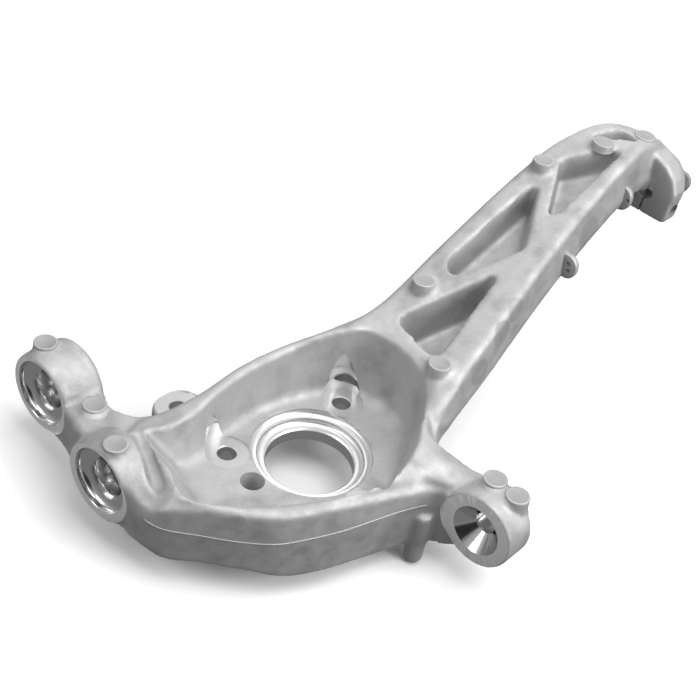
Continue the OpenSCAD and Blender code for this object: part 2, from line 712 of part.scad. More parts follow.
// Taper and bore of the steering boss, cut along +Y from its mouth
module steering_seat() {
    mouth_r = steer_cone_d / 2;
    bore_r = steer_bore_d / 2;
    length = steer_l + steer_collar_l;
    rotate([-90, 0, 0]) {
        rotate_extrude()
            polygon([[0, -over], [mouth_r, -over], [mouth_r, steer_lip], [bore_r, steer_cone_depth],
                [bore_r, length + over], [0, length + over]]);
    }
}

// Clamp bore with its slit and pinch bolt hole
module clamp_cuts() {
    span = neck_l - clamp_face_y;
    translate([clamp_x, clamp_face_y - clamp_run, clamp_z])
        rotate([-90, 0, 0])
            cylinder(h = 2 * span, d = clamp_bore_d);
    translate([clamp_x - slit_w / 2, clamp_face_y - clamp_run, clamp_bottom_z - span])
        cube([slit_w, 2 * span, clamp_z - clamp_bottom_z + span]);
    translate([clamp_right_x, clamp_face_y - span, clamp_bottom_z - span])
        cube([span, 3 * span, span + clamp_z - clamp_bottom_z]);
    translate([clamp_x - pinch_depth, pinch_y, pinch_z])
        rotate([0, 90, 0])
            cylinder(h = pinch_depth + 3 * span, d = pinch_d);
}

module ear_cuts(x, y) {
    translate([x, y, ear_top_h - 2 * ear_t]) cylinder(h = 4 * ear_t, d = ear_hole_d);
    translate([x, y, ear_top_h - ear_face_depth]) cylinder(h = ear_t, d = ear_face_d);
}

module bracket_hole(x, y, z) {
    translate([x, y + bracket_t, z])
        rotate([90, 0, 0])
            cylinder(h = 3 * bracket_t, d = bracket_hole_d);
}

module knuckle() {
    color("silver")
        difference() {
            // This joins the cast surfaces into one solid before the seats are machined
            resize([0, 0, 0]) casting();
            hub_bore();
            hub_bolts();
            sensor_hole();
            translate([rear_boss_x, rear_boss_y, parting_h]) joint_seat(rear_bore_depth);
            translate([front_boss_x, front_boss_y, parting_h]) joint_seat(front_bore_depth);
            translate([steer_x, steer_y, parting_h]) steering_seat();
            clamp_cuts();
            ear_cuts(ear_x, ear_y);
            ear_cuts(far_ear_x, far_ear_y);
            bracket_hole(bracket_x + bracket_hole_x, bracket_y, bracket_z + bracket_hole_z);
            bracket_hole(bracket_x + bracket_hole_x, bracket_y, bracket_z + bracket_hole_z + bracket_hole_step);
            bracket_hole(far_bracket_x, far_bracket_y, far_bracket_z + bracket_hole_z + bracket_hole_step);
        }
}

knuckle();
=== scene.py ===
"""Dresses the steering knuckle: cast skin, machined seats, ejector pads, mould flash and a plain stage."""

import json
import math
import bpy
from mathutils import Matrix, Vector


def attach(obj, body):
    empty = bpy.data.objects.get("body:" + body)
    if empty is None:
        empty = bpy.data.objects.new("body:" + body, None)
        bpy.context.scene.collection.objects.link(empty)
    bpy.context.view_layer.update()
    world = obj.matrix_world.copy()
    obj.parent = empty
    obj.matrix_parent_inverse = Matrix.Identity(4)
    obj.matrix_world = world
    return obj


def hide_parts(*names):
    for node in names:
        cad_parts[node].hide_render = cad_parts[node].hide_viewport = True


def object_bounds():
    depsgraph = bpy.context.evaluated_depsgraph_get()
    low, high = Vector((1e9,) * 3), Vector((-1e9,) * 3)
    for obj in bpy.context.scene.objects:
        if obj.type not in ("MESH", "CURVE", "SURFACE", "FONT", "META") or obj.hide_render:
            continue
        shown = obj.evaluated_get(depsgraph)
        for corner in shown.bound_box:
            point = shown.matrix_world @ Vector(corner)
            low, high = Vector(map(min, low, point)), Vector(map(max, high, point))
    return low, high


bl_info = {
    "name": "Steering Knuckle",
    "version": (1, 0, 0),
    "blender": (4, 5, 0),
    "location": "3D View > Sidebar > Knuckle",
    "description": "Models a cast aluminium steering knuckle over its packed frame",
    "category": "Object",
}

from collections import namedtuple

import bmesh
import bpy
from bpy.props import FloatProperty, IntProperty, PointerProperty, StringProperty
from mathutils import Matrix, Vector

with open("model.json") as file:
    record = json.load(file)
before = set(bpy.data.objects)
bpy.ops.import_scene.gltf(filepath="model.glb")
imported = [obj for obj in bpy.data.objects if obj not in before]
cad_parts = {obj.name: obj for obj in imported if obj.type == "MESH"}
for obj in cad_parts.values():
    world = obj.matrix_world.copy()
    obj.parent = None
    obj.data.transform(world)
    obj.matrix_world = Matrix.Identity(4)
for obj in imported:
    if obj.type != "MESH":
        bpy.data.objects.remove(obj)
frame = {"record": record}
cad_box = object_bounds()
mounts = {mount["name"]: mount for mount in frame["record"]["mounts"]}

MM = 0.001
BODY = "root"
NODE = "knuckle"
# Turns that lay an axis along +X and along +Y
ALONG_X = Matrix.Rotation(math.radians(90), 3, "Y")
ALONG_Y = Matrix.Rotation(math.radians(-90), 3, "X")


def mount_place(name):
    """Centre of a mount in the frame."""
    return Vector(mounts[name]["pos_m"])


def mount_radius(name):
    """Wall radius of a mount's hole."""
    return mounts[name]["dims"]["r_mm"] * MM


# Stations round the dish, anticlockwise from the left of the neck's foot.
# Each row: outer wall x and y, its lower and upper edge, rim x, y and height, floor x and y.
# Plan values are shares of the plan size and heights are shares of the rim height.
STATION_SHARES = [
    (-0.42, 0.9, 0.44, 1.36, -0.335, 0.645, 1.38, -0.28, 0.535),
    (-0.51, 0.51, 0.2, 1.29, -0.44, 0.47, 1.3, -0.36, 0.41),
    (-0.61, 0.22, 0.04, 1.18, -0.51, 0.23, 1.18, -0.43, 0.2),
    (-0.65, -0.11, 0, 1.12, -0.55, -0.09, 1.12, -0.47, -0.08),
    (-0.63, -0.435, 0, 1.08, -0.515, -0.42, 1.1, -0.44, -0.38),
    (-0.645, -0.66, 0, 1.03, -0.48, -0.63, 1.05, -0.39, -0.54),
    (-0.7, -0.88, 0, 0.96, -0.5, -0.85, 1.02, -0.35, -0.63),
    (-0.64, -1.08, 0, 1, -0.54, -0.98, 1.04, -0.3, -0.68),
    (-0.46, -1.27, 0, 1, -0.38, -1.03, 1.05, -0.23, -0.72),
    (-0.31, -1.31, 0, 0.82, -0.225, -1.06, 1.04, -0.16, -0.76),
    (-0.16, -1.3, -0.01, 0.72, -0.105, -1.11, 1.02, -0.08, -0.79),
    (-0.04, -1.27, -0.03, 0.85, -0.03, -1.13, 1.01, 0, -0.81),
    (0.06, -1.2, -0.03, 0.92, 0.04, -1.12, 1, 0.07, -0.81),
    (0.15, -1.125, 0, 0.96, 0.12, -1.06, 1, 0.14, -0.79),
    (0.26, -1.04, 0, 0.98, 0.24, -0.95, 1, 0.24, -0.73),
    (0.38, -0.935, -0.02, 0.98, 0.36, -0.81, 1, 0.34, -0.63),
    (0.5, -0.8, -0.11, 0.98, 0.44, -0.67, 1, 0.4, -0.54),
    (0.585, -0.63, -0.19, 0.98, 0.52, -0.53, 1, 0.47, -0.42),
    (0.67, -0.42, -0.2, 0.96, 0.59, -0.37, 1, 0.53, -0.3),
    (0.74, -0.18, -0.22, 0.88, 0.65, -0.21, 1, 0.57, -0.16),
    (0.8, 0.02, -0.23, 0.82, 0.675, -0.03, 1.01, 0.58, -0.02),
    (0.88, 0.19, -0.18, 0.78, 0.66, 0.09, 1.03, 0.56, 0.09),
    (1.02, 0.265, -0.14, 0.8, 0.62, 0.22, 1.06, 0.51, 0.2),
    (1.13, 0.42, -0.06, 0.84, 0.58, 0.31, 1.08, 0.46, 0.28),
    (0.98, 0.58, -0.02, 0.82, 0.545, 0.37, 1.09, 0.42, 0.345),
    (0.82, 0.49, 0, 0.81, 0.505, 0.43, 1.11, 0.375, 0.41),
    (0.68, 0.49, 0.04, 0.84, 0.455, 0.51, 1.13, 0.325, 0.47),
    (0.6, 0.545, 0.16, 0.95, 0.395, 0.6, 1.16, 0.275, 0.53),
    (0.53, 0.68, 0.42, 1.12, 0.315, 0.69, 1.24, 0.205, 0.575),
    (0.48, 0.88, 0.6, 1.26, 0.2, 0.755, 1.31, 0.11, 0.595),
    (0.25, 1, 0.68, 1.36, 0.045, 0.78, 1.365, 0.01, 0.605),
    (-0.12, 1.01, 0.68, 1.38, -0.11, 0.77, 1.385, -0.1, 0.6),
    (-0.3, 0.98, 0.6, 1.38, -0.25, 0.735, 1.38, -0.2, 0.575),
]
# Steps of smoothing between two stations
STATION_STEPS = 6
# Share of the way out from the hub axis at which the underside turns down to its edge
SEAT_SHARE = 0.76
# Share of the way from the rim to the floor edge that the straight wall takes
WALL_SHARE = 0.45
# Share of each edge rounding that its middle line is set in by
SOFT_SHARE = 0.3

# Stations up the neck: Y, left and right of the inboard face, height of the face on the left and on
# the right, and depth, as shares of the neck's length, the plan size, the neck's height and depth
NECK_SHARES = [
    (0.15, -0.41, 0.5, 0.4, 0.33, 0.65),
    (0.182, -0.415, 0.506, 0.425, 0.365, 0.75),
    (0.217, -0.402, 0.495, 0.439, 0.405, 0.88),
    (0.284, -0.385, 0.445, 0.471, 0.465, 0.95),
    (0.351, -0.384, 0.41, 0.529, 0.529, 0.97),
    (0.433, -0.393, 0.36, 0.606, 0.606, 1),
    (0.516, -0.39, 0.315, 0.688, 0.688, 1),
    (0.6, -0.385, 0.276, 0.77, 0.77, 1),
    (0.685, -0.382, 0.237, 0.841, 0.841, 1),
    (0.76, -0.365, 0.215, 0.909, 0.909, 1),
    (0.813, -0.317, 0.206, 0.96, 0.96, 1),
    (0.867, -0.254, 0.195, 0.996, 0.996, 1),
    (0.91, -0.19, 0.19, 1, 1, 1),
    (0.95, -0.09, 0.2, 0.98, 0.98, 0.95),
    (0.98, 0, 0.19, 0.94, 0.94, 0.85),
]
# Height of the neck's parting line above its underside, as a share of its depth
NECK_PARTING_SHARE = 0.22
# Rounding of the neck's long edges, as a share of the edge rounding
NECK_EDGE_SHARE = 1.43
# How far the neck's sides stand out from its inboard face at the parting line
NECK_FLARE = 4.4 * MM

# Lightening pockets: corners as shares of the plan size and the neck's length, each with its radius
# as a share of the edge rounding, then the share of the pocket depth
POCKET_SHARES = [
    (((-0.216, 0.27, 2.2), (0.233, 0.248, 1.9), (0.103, 0.48, 0.9)), 1.18),
    (((-0.261, 0.42, 3), (-0.117, 0.412, 2.6), (0.107, 0.539, 2.2), (-0.212, 0.693, 1)), 0.9),
    (((0.086, 0.608, 0.9), (0.108, 0.858, 1.2), (-0.07, 0.8, 2.4), (-0.208, 0.755, 1.7)), 0.72),
    (((-0.199, 0.825, 0.5), (0.127, 0.895, 0.5), (-0.029, 0.902, 0.8), (-0.097, 0.888, 0.8)), 0.45),
]
# Share of each pocket corner's radius that the foot of its floor fillet is set in by
TOE_SHARE = 0.9

# Plan of the web between the ball joint bosses, as shares of the plan size
WEB_SHARES = [
    (-1.46, -1.09), (-1.2, -1.13), (-1.04, -1.17), (-0.86, -1.24), (-0.5, -1.22), (-0.38, -1.1),
    (-0.42, -0.9), (-0.66, -0.74), (-0.76, -0.86), (-0.87, -0.92), (-1, -0.905), (-1.16, -0.82),
    (-1.42, -0.88),
]
# Where the web's top starts and ends its fall, as shares of the plan size along x
WEB_FALL_SHARES = (-0.86, -1.3)

Boss = namedtuple("Boss", "shift_x shift_z face front back reach mill bore")
# Bosses along +Y in millimetres: shift of the cast barrel from its bore, place of the milled face,
# radius at the face and at the back, length, radius of the mill, and depth of the bore
BOSSES = {
    "rear_joint_bore": (-0.6, -1.2, -111.3, 26.8, 28.75, 32, 29, 57),
    "front_joint_bore": (-1.2, -2.4, -131.3, 26.8, 29.25, 24, 32, 30),
    "steering_bore": (0, 0, 23.8, 25.5, 26.5, 25, 27, 40),
}
# Collar behind the steering boss
COLLAR_RADIUS = 17 * MM
COLLAR_REACH = 35 * MM

# Stub below the steering arm, from its tip up
STUB_PLACE = Vector((84.5, 17, -25)) * MM
STUB_TIP_RADIUS = 4.7 * MM
STUB_RADIUS = 6.7 * MM
STUB_TAPER = 3 * MM
STUB_LENGTH = 43 * MM

# Caliper ears: x of each root in millimetres, then the sizes that both share
EAR_ROOTS = {"caliper_ear": -60, "far_caliper_ear": -44}
EAR_RADIUS = 15.5 * MM
EAR_ROOT_WIDTH = 52 * MM
EAR_THICKNESS = 14 * MM
EAR_CAST_TOP = 11 * MM
EAR_FACE = 10 * MM
# Rounding of an ear's end, as a share of its radius
EAR_ROUND_SHARE = 0.98

# Bracket ears in millimetres: x of the neck's flank, reach out of it, y, bottom and top
BRACKETS = [(28, 13, 216, 90, 109), (25, 5, 291, 114, 134)]
BRACKET_ROOT = 14 * MM
BRACKET_THICKNESS = 5 * MM
BRACKET_HOLES = [(35.5, 209, 97.5), (34.3, 209, 103), (28.2, 284, 125)]
BRACKET_HOLE_RADIUS = 1.5 * MM
# Rounding of a bracket ear's corners, as a share of its height
BRACKET_ROUND_SHARE = 0.42

# Clamp head along Y
HEAD_START = 320 * MM
HEAD_END = 340 * MM
# Outline of the clamp head seen along Y, as shares of the plan size and the neck's height
HEAD_SHARES = [
    (-0.17, 0.7), (0.03, 0.625), (0.46, 0.625), (0.48, 0.79),
    (0.43, 0.86), (0.34, 0.91), (0.14, 0.955), (-0.12, 0.98), (-0.25, 0.94),
]
# Plan of the clamp head, as shares of the plan size and the neck's length
HEAD_PLAN_SHARES = [
    (-0.06, 0.9), (0.5, 0.9), (0.5, 0.986), (0.12, 0.986), (0.01, 0.965), (-0.12, 0.935),
]
# Radius of each corner of that plan, as a share of the edge rounding
HEAD_PLAN_ROUND_SHARES = (1, 1, 3.5, 2, 1, 1)

# Ejector pads: x and y as shares of the plan size, height of the surface as a share of the rim
# height, and how far the pad's side runs down, as a share of its rise
PAD_SHARES = [
    (-1.545, -0.985, 1.09, 2), (-0.54, -1.22, 1.08, 1.5), (-1, -1.01, 0.82, 1),
    (1.13, 0.43, 1.08, 2), (1.31, 0.43, 1.07, 3),
    (0.302, 0.813, 1.43, 3.5), (-0.234, 1.218, 1.79, 2.5), (-0.27, 2.463, 2.85, 3.2),
    (-0.044, 2.853, 3.13, 1.2), (0.1, 3.19, 3.17, 2.5),
]
# Radius of the painted shade on a pad's top, which tones down its glare, as a share of the pad's diameter
PAD_SHADE_SHARE = 0.43
# Pad on the clamp's end
END_PAD_PLACE = Vector((40, 339.4, 130)) * MM

# Groove between the front ball joint barrel and the dish rim: place and radius in millimetres
GROOVE_PATH = [
    (-68, -96, 53.5, 2.4), (-58, -101, 52, 3), (-48, -105.5, 50.5, 3.6), (-38.5, -109, 49, 4.2),
    (-29, -113, 46.5, 4.8), (-20.5, -117, 45, 5), (-15.5, -119.5, 45, 3.4),
]

# Flash of the parting line: the stations that it runs between, its radius, and the share of that
# radius by which its middle lies inside the wall
FLASH_ROWS = (10, 21)
FLASH_RADIUS = 0.45 * MM
FLASH_SINK_SHARE = 0.2

# Patches on the neck's flank where casting stubs were ground off: centre and radius in millimetres
GROUND_PATCHES = [
    ((28, 243.1, 112), 13), ((36, 151, 90), 9), ((41, 134, 80), 10), ((46, 109, 62), 10),
]

# Edges turned by more than this many degrees are drawn sharp
SHARP_ANGLE = 34
# Places of the finishes in the casting's list of materials
CAST, TURNED_HUB, TURNED_REAR, TURNED_FRONT, TURNED_ARM, FACED, MILLED, BORED = range(8)

# The photograph's camera, solved from its circles
CAMERA_PLACE = Vector((0.37766, -0.49639, 0.61313))
CAMERA_AIM = Vector((-0.02585, 0.05567, 0.060))
CAMERA_ROLL = 11.17
CAMERA_LENS = 66.87
CAMERA_SENSOR = 36.0

# Softboxes: place and width in metres, power in watts
LIGHT_AIM = Vector((0, 0.06, 0.05))
LIGHTS = [
    ("back_softbox", (-0.75, 1.15, 1.0), 0.9, 6),
    ("top_softbox", (0.8, 0.3, 2.8), 2.2, 66),
    ("right_softbox", (1.5, 0.4, 0.8), 0.8, 20),
    ("front_softbox", (-0.42, -0.85, 0.74), 0.42, 3.6),
]
# Black screen beside the camera, and how far it and the floor reach from their middles, in metres
SCREEN_PLACE = Vector((0.62, -1.0, 0.34))
SCREEN_REACH = (0.65, 0.45)
FLOOR_REACH = (12, 12)


def boss_sizes(mount):
    """Sizes of the boss round a mount, in the frame's unit."""
    return Boss(*[size * MM for size in BOSSES[mount]])


def mouth_place(mount):
    """Centre of a boss's milled face."""
    bore = mount_place(mount)
    return Vector((bore.x, boss_sizes(mount).face, bore.z))


def length(name, millimetres, about):
    """A length property with its default in millimetres."""
    return FloatProperty(
        name=name, description=about, default=millimetres * MM, unit="LENGTH", precision=5
    )


class KnuckleSizes(bpy.types.PropertyGroup):
    """Sizes of the casting and its seats"""

    plan: length("Plan size", 100, "Size that the plan outlines are shares of")
    rim: length("Rim height", 50, "Height of the dish rim above the hub seat")
    floor: length("Floor", 18, "Thickness of the dish floor")
    parting: length("Parting height", 27, "Height of the mould parting line")
    draft: length("Wall draft", 1.6, "Draft of each outer wall")
    edge: length("Edge rounding", 3.5, "Rounding of the outer edges")
    skirt: length("Skirt rounding", 1.5, "Rounding of the underside's edge")
    lip: length("Rim rounding", 2, "Rounding of the inner edge of the rim")
    fillet: length("Floor fillet", 9, "Fillet between the dish wall and its floor")
    web: length("Web height", 44, "Height of the web between the ball joint bosses")
    web_fall: length("Web fall", 14, "How far the web's top drops towards the rear boss")
    stock: length("Face stock", 1, "Cast stock that the mill takes off each boss face")
    neck: length("Neck length", 345, "Length of the neck from the hub axis")
    top: length("Neck height", 160, "Height of the neck's inboard face at its top")
    depth: length("Neck depth", 41, "Depth of the neck below its inboard face")
    pocket: length("Pocket depth", 28, "Depth that the lightening pockets take shares of")
    pocket_draft: length("Pocket draft", 2.2, "Inset of a floor at that depth from its mouth")
    pad: length("Pad diameter", 16, "Diameter of each ejector pad")
    pad_rise: length("Pad rise", 2.5, "How far each ejector pad stands out")
    grain: length("Model grain", 1.75, "Grid that the cast surfaces are blended on")
    rounds: IntProperty(name="Blend rounds", description="Rounds of blending between cast forms", default=5)


class KnuckleFinish(bpy.types.PropertyGroup):
    """Colours of the finishes, as sRGB hex values"""

    skin_light: StringProperty(name="Skin", description="Bare cast skin", default="#C6C6C6")
    skin_dark: StringProperty(name="Skin stain", description="Stained cast skin", default="#8C8C8C")
    turned: StringProperty(name="Turned", description="Turned aluminium", default="#E4E4E4")
    faced: StringProperty(name="Faced", description="Faced aluminium", default="#F0F0F0")
    felt: StringProperty(name="Screen", description="Black screen", default="#141414")
    ground: StringProperty(name="Floor", description="Studio floor", default="#F4F4F4")


def linear(hex_colour):
    """Linear colour of an sRGB hex value."""
    shares = [int(hex_colour[i:i + 2], 16) / 255 for i in (1, 3, 5)]
    return [s / 12.92 if s <= 0.04045 else ((s + 0.055) / 1.055) ** 2.4 for s in shares] + [1.0]


def spline(a, b, c, d, t):
    """Point on a smooth curve through b and c, with a and d the next points out."""
    return [
        0.5 * (2 * q + (r - p) * t + (2 * p - 5 * q + 4 * r - s) * t**2 + (3 * q - p - 3 * r + s) * t**3)
        for p, q, r, s in zip(a, b, c, d)
    ]


def closed_rows(rows, steps):
    """Rows of a closed table, smoothed with a number of steps between rows."""
    n = len(rows)
    return [
        spline(rows[i - 1], rows[i], rows[(i + 1) % n], rows[(i + 2) % n], k / steps)
        for i in range(n)
        for k in range(steps)
    ]


def open_rows(rows, steps):
    """Rows of an open table, smoothed with a number of steps between rows."""
    last = len(rows) - 1
    smooth = [
        spline(rows[max(i - 1, 0)], rows[i], rows[i + 1], rows[min(i + 2, last)], k / steps)
        for i in range(last)
        for k in range(steps)
    ]
    return smooth + [list(rows[last])]


def rounded(corners, radii, steps=6):
    """Outline with each corner replaced by an arc of its own radius."""
    points = []
    n = len(corners)
    for i, radius in enumerate(radii):
        corner = Vector(corners[i])
        back = (Vector(corners[i - 1]) - corner).normalized()
        ahead = (Vector(corners[(i + 1) % n]) - corner).normalized()
        half = back.angle(ahead) / 2
        centre = corner + (back + ahead).normalized() * radius / math.sin(half)
        start = (corner + back * radius / math.tan(half) - centre).normalized()
        end = (corner + ahead * radius / math.tan(half) - centre).normalized()
        sweep = math.pi - 2 * half
        for k in range(steps + 1):
            share = k / steps
            turn = math.sin(sweep * (1 - share)) * start + math.sin(sweep * share) * end
            points.append(centre + radius * turn / math.sin(sweep))
    return points


def quarter(steps=8):
    """Sine and cosine of equal steps over a quarter turn."""
    angles = [math.pi / 2 * k / steps for k in range(steps + 1)]
    return [(math.sin(angle), math.cos(angle)) for angle in angles]


def straight(radius, low, high):
    """Profile of a plain cylinder, to be turned."""
    return [(0, low), (radius, low), (radius, high), (0, high)]


def drilled(radius, spot_radius, below, face, above):
    """Profile of a bolt hole with a chamfer and a spot face, to be turned."""
    chamfer = 0.7 * MM
    return [
        (0, -below), (radius, -below), (radius, face - chamfer), (radius + chamfer, face),
        (spot_radius, face), (spot_radius, above), (0, above),
    ]


def inset(outline, distance):
    """Anticlockwise outline moved inward."""
    n = len(outline)
    moved = []
    for i, point in enumerate(outline):
        along = Vector(outline[(i + 1) % n][:2]) - Vector(outline[i - 1][:2])
        along.normalize()
        moved.append(Vector(point[:2]) + distance * Vector((-along.y, along.x)))
    return moved


def at_height(outline, z):
    """Outline placed at one height."""
    return [(point[0], point[1], z) for point in outline]


def lowered(outline, heights, drop=0):
    """Outline whose points each lie a drop below their own height."""
    return [(point.x, point.y, z - drop) for point, z in zip(outline, heights)]


def loft(rings):
    """Closed solid through a stack of rings."""
    mesh = bmesh.new()
    loops = []
    for ring in rings:
        verts = [mesh.verts.new(point) for point in ring]
        loops.append([mesh.edges.new((verts[i - 1], verts[i])) for i in range(len(verts))])
    for lower, upper in zip(loops, loops[1:]):
        bmesh.ops.bridge_loops(mesh, edges=lower + upper)
    for end in (loops[0], loops[-1]):
        bmesh.ops.contextual_create(mesh, geom=end)
    bmesh.ops.recalc_face_normals(mesh, faces=mesh.faces)
    return mesh


def turned(profile, place, turn=Matrix.Identity(3), steps=96):
    """Solid of revolution of (radius, height) points about an axis through place."""
    mesh = bmesh.new()
    verts = [mesh.verts.new((radius, 0, height)) for radius, height in profile]
    edges = [mesh.edges.new(pair) for pair in zip(verts, verts[1:])]
    bmesh.ops.spin(
        mesh, geom=verts + edges, cent=(0, 0, 0), axis=(0, 0, 1), angle=math.tau, steps=steps, use_merge=True
    )
    bmesh.ops.remove_doubles(mesh, verts=mesh.verts, dist=MM / 1000)
    bmesh.ops.recalc_face_normals(mesh, faces=mesh.faces)
    bmesh.ops.transform(mesh, matrix=Matrix.Translation(place) @ turn.to_4x4(), verts=mesh.verts)
    return mesh


def block(low, high):
    """Box between two corners."""
    mesh = bmesh.new()
    size = Vector(high) - Vector(low)
    middle = (Vector(high) + Vector(low)) / 2
    place = Matrix.Translation(middle) @ Matrix.Diagonal((*size, 1))
    bmesh.ops.create_cube(mesh, size=1, matrix=place)
    return mesh


def stand(mesh, y):
    """Turns a plate upright, so that its foot lies at y and its height runs along -Y."""
    place = Matrix.Translation((0, y, 0)) @ Matrix.Rotation(math.radians(90), 4, "X")
    bmesh.ops.transform(mesh, matrix=place, verts=mesh.verts)
    return mesh


def plate(outline, low, high, rounding):
    """Cast plate between two heights, with rounded edges."""
    soft = rounding * SOFT_SHARE
    return loft([
        at_height(inset(outline, rounding), low),
        at_height(inset(outline, soft), low + soft),
        at_height(outline, low + rounding),
        at_height(outline, high - rounding),
        at_height(inset(outline, soft), high - soft),
        at_height(inset(outline, rounding), high),
    ])


def add_object(name, data):
    """Object of its data, in the scene."""
    item = bpy.data.objects.new(name, data)
    bpy.context.scene.collection.objects.link(item)
    return item


def add_piece(name, mesh, materials=()):
    """Object of a finished bmesh."""
    data = bpy.data.meshes.new(name)
    mesh.to_mesh(data)
    mesh.free()
    for material in materials:
        data.materials.append(material)
    return add_object(name, data)


def bake_modifiers(piece):
    """Turns a piece's modifiers into its mesh."""
    graph = bpy.context.evaluated_depsgraph_get()
    baked = bpy.data.meshes.new_from_object(piece.evaluated_get(graph), depsgraph=graph)
    old = piece.data
    piece.modifiers.clear()
    piece.data = baked
    bpy.data.meshes.remove(old)


def combine(piece, tool, operation, finish=0, upright=None):
    """Joins a tool to a piece or cuts it away; upright is the finish of its upright faces."""
    for material in piece.data.materials:
        tool.data.materials.append(material)
    for face in tool.data.polygons:
        is_upright = upright is not None and abs(face.normal.z) < 0.5
        face.material_index = upright if is_upright else finish
    step = piece.modifiers.new(operation, "BOOLEAN")
    step.operation = operation
    step.solver = "MANIFOLD"
    step.object = tool
    bake_modifiers(piece)
    bpy.data.objects.remove(tool)


def join(piece, mesh):
    """Joins a solid to a piece."""
    combine(piece, add_piece("tool", mesh), "UNION")


def cut(piece, mesh, finish=0, upright=None):
    """Cuts a solid away from a piece; upright is the finish of the cut's upright faces."""
    combine(piece, add_piece("tool", mesh), "DIFFERENCE", finish, upright)


def inner_rings(sizes, rows):
    """Rings from the rim down the inner wall and the fillet to the floor of the dish."""
    rim = [Vector((row[4], row[5])) * sizes.plan for row in rows]
    crest = [row[6] * sizes.rim for row in rows]
    foot = [Vector((row[7], row[8])) * sizes.plan for row in rows]
    soft = sizes.lip * SOFT_SHARE
    rings = [
        lowered(inset(rim, -sizes.lip), crest),
        lowered(inset(rim, -soft), crest, soft),
        lowered(rim, crest, sizes.lip),
    ]
    for sine, cosine in quarter(6):
        share = 1 - (1 - WALL_SHARE) * cosine
        height = sizes.floor + sizes.fillet * (1 - sine)
        ring = [a.lerp(b, share) for a, b in zip(rim, foot)]
        rings.append(at_height(ring, height))
    return rings


def dish_solid(sizes):
    """Dish and arm: underside, outer wall, rim and inner wall in one surface."""
    rows = closed_rows(STATION_SHARES, STATION_STEPS)
    outer = [Vector((row[0], row[1])) * sizes.plan for row in rows]
    low = [row[2] * sizes.rim for row in rows]
    high = [row[3] * sizes.rim for row in rows]
    widest = [max(sizes.parting, z + 2 * sizes.edge) for z in low]
    drafted = inset(outer, sizes.draft)
    soft = sizes.edge * SOFT_SHARE
    rings = [
        at_height([point * SEAT_SHARE for point in outer], 0),
        lowered(inset(outer, sizes.draft + sizes.skirt), low),
        lowered(drafted, low, -sizes.skirt),
        lowered(outer, widest),
        lowered(drafted, high, sizes.edge),
        lowered(inset(outer, sizes.draft + soft), high, soft),
        lowered(inset(outer, sizes.draft + sizes.edge), high),
    ]
    return loft(rings + inner_rings(sizes, rows))


def room_solid(sizes):
    """Room inside the dish and a little of its wall, which the neck and the bosses stay out of."""
    rings = inner_rings(sizes, closed_rows(STATION_SHARES, STATION_STEPS))
    wider = [lowered(inset(ring, -sizes.lip), [point[2] for point in ring], sizes.lip) for ring in rings]
    top = [(x, y, z + sizes.rim) for x, y, z in wider[0]]
    return loft(wider[::-1] + [top])


def neck_solid(sizes):
    """Neck: box beam that climbs inboard and ends in the clamp head."""
    edge = sizes.edge * NECK_EDGE_SHARE
    narrow = NECK_FLARE - sizes.draft
    rings = []
    for share, left, right, face, right_face, depth in open_rows(NECK_SHARES, 5):
        left = left * sizes.plan
        right = right * sizes.plan
        top = face * sizes.top
        bottom = top - depth * sizes.depth
        parting = bottom + (top - bottom) * NECK_PARTING_SHARE
        section = rounded(
            [
                (left, top), (right, right_face * sizes.top), (right + NECK_FLARE, parting),
                (right + narrow, bottom), (left - narrow, bottom), (left - NECK_FLARE, parting),
            ],
            [edge] * 2 + [edge / 2] * 4,
        )
        rings.append([(point.x, share * sizes.neck, point.y) for point in section])
    return loft(rings)


def face_height(sizes, y):
    """Height of the neck's inboard face at a place along Y."""
    rows = open_rows(NECK_SHARES, 5)
    share = y / sizes.neck
    for low, high in zip(rows, rows[1:]):
        if share <= high[0]:
            part = (share - low[0]) / (high[0] - low[0])
            return (low[3] + (high[3] - low[3]) * part) * sizes.top
    return rows[-1][3] * sizes.top


def pocket_solid(sizes, corners, depth_share):
    """Tool for one lightening pocket, with a drafted wall and a rounded floor."""
    depth = depth_share * sizes.pocket
    points = [(x * sizes.plan, y * sizes.neck) for x, y, _ in corners]
    radii = [share * sizes.edge for _, _, share in corners]
    mouth = rounded(points, radii)
    toe_inset = min(radii) * TOE_SHARE
    floor_inset = min(depth_share * sizes.pocket_draft, toe_inset / 2)
    levels = [
        (toe_inset, -depth),
        (floor_inset, toe_inset - floor_inset - depth),
        (-floor_inset / 4, sizes.pad_rise),
    ]
    rings = []
    for inward, height in levels:
        ring = inset(mouth, inward)
        rings.append([(point.x, point.y, face_height(sizes, point.y) + height) for point in ring])
    return loft(rings)


def web_solid(sizes):
    """Web between the ball joint bosses, whose top drops towards the rear boss."""
    outline = [Vector(point) * sizes.plan for point in closed_rows(WEB_SHARES, 6)]
    near, far = [share * sizes.plan for share in WEB_FALL_SHARES]
    mesh = plate(outline, 0, sizes.web, sizes.edge)
    for vert in mesh.verts:
        if vert.co.z > sizes.web / 2:
            share = min(max((vert.co.x - near) / (far - near), 0), 1)
            vert.co.z -= sizes.web_fall * share
    return mesh


def barrel_solid(sizes, mount):
    """Barrel of a boss along +Y with rounded ends, from its face to its back."""
    boss = boss_sizes(mount)
    bore = mount_place(mount)
    edge = sizes.edge
    soft = edge * SOFT_SHARE
    start = -sizes.stock
    profile = [
        (0, start), (boss.front - soft, start), (boss.front + soft, soft + start), (boss.back, 2 * edge),
        (boss.back, boss.reach - edge), (boss.back - soft, boss.reach - soft),
        (boss.back - edge, boss.reach), (0, boss.reach),
    ]
    place = Vector((bore.x + boss.shift_x, boss.face, bore.z + boss.shift_z))
    return turned(profile, place, ALONG_Y)


